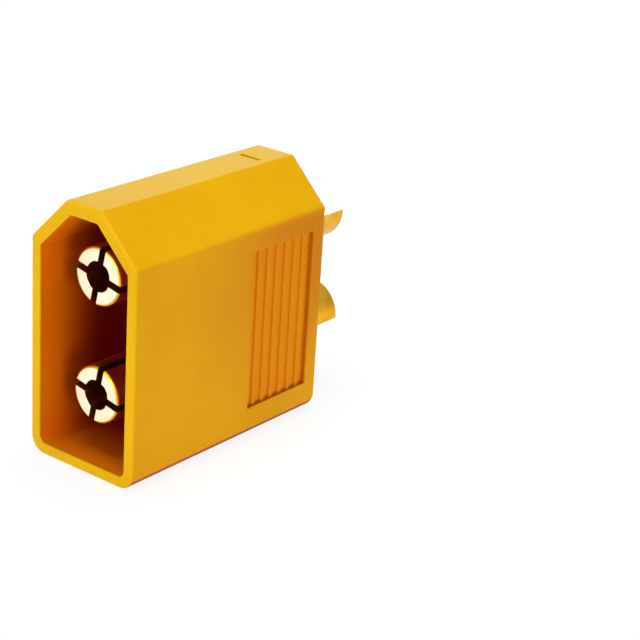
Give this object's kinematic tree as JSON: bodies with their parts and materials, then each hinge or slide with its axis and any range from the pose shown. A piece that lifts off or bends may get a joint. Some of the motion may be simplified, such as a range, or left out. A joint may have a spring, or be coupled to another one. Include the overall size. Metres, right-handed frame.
{
  "type": "polarised power connector",
  "caption": "Shrouded half of a polarised power connector, with slotted spring pins inside its socket and half-open solder cups behind.",
  "frame": {"origin": "middle of the object's footprint, on the plane of the housing's flat narrow end", "axes": "+X through the housing's thickness towards its ribbed panel, +Y from the mating rim to the solder cups, +Z from the flat end to the bevelled end"},
  "size_m": [0.0082, 0.0209, 0.016],
  "materials": {
    "housing": "golden yellow moulded nylon, satin",
    "contact": "turned brass, bright gold plating"
  },
  "bodies": {
    "root": {"housing": "housing", "negative_contact": "contact", "positive_contact": "contact"}
  },
  "joints": []
}
